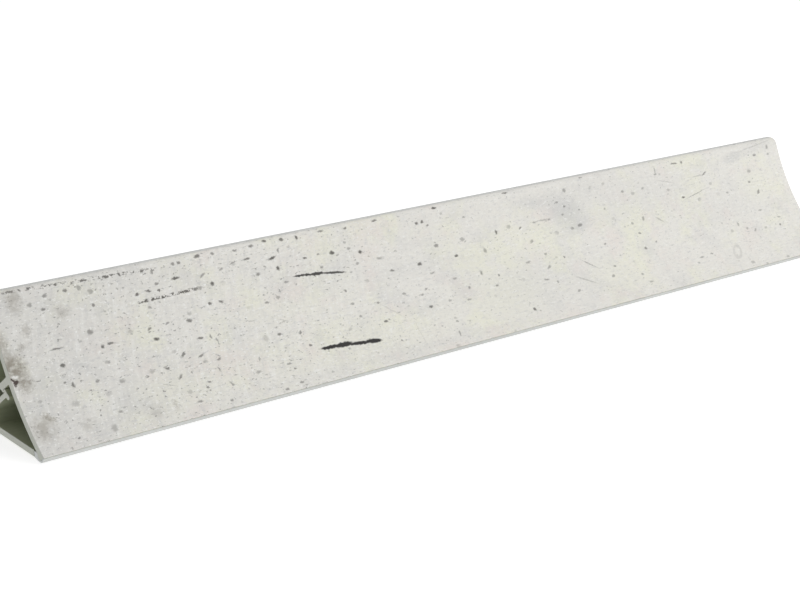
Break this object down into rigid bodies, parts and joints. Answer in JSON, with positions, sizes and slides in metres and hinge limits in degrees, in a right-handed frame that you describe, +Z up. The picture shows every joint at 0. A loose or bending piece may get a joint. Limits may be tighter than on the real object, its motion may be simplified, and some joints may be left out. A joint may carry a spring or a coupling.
{
  "type": "worktop wall sealing trim",
  "caption": "Two-part wall sealing trim for a worktop: hollow-faced clip-on cover with a printed concrete-look film and soft lips, on a corner mounting rail with a barbed stem.",
  "frame": {"origin": "middle of the footprint, on the worktop: half way along the trim and half way from its nose to the wall", "axes": "+X along the trim, +Y towards the wall, +Z up from the worktop"},
  "size_m": [0.245, 0.024, 0.03],
  "materials": {
    "rail_plastic": "plain extruded grey PVC",
    "cover_plastic": "plain extruded grey PVC",
    "printed_film": "satin film printed as weathered concrete, with pits, cracks and stains",
    "soft_lip": "soft light grey PVC"
  },
  "bodies": {
    "rail": {"base_rail": "rail_plastic"},
    "cover": {"cover_profile": "cover_plastic", "decor_film": "printed_film", "upper_lip": "soft_lip", "lower_lip": "soft_lip"}
  },
  "joints": [
    {"name": "cover_slide", "type": "slide", "parent": "rail", "child": "cover", "axis": [1, 0, 0], "range_m": [-0.2, 0.2]}
  ]
}
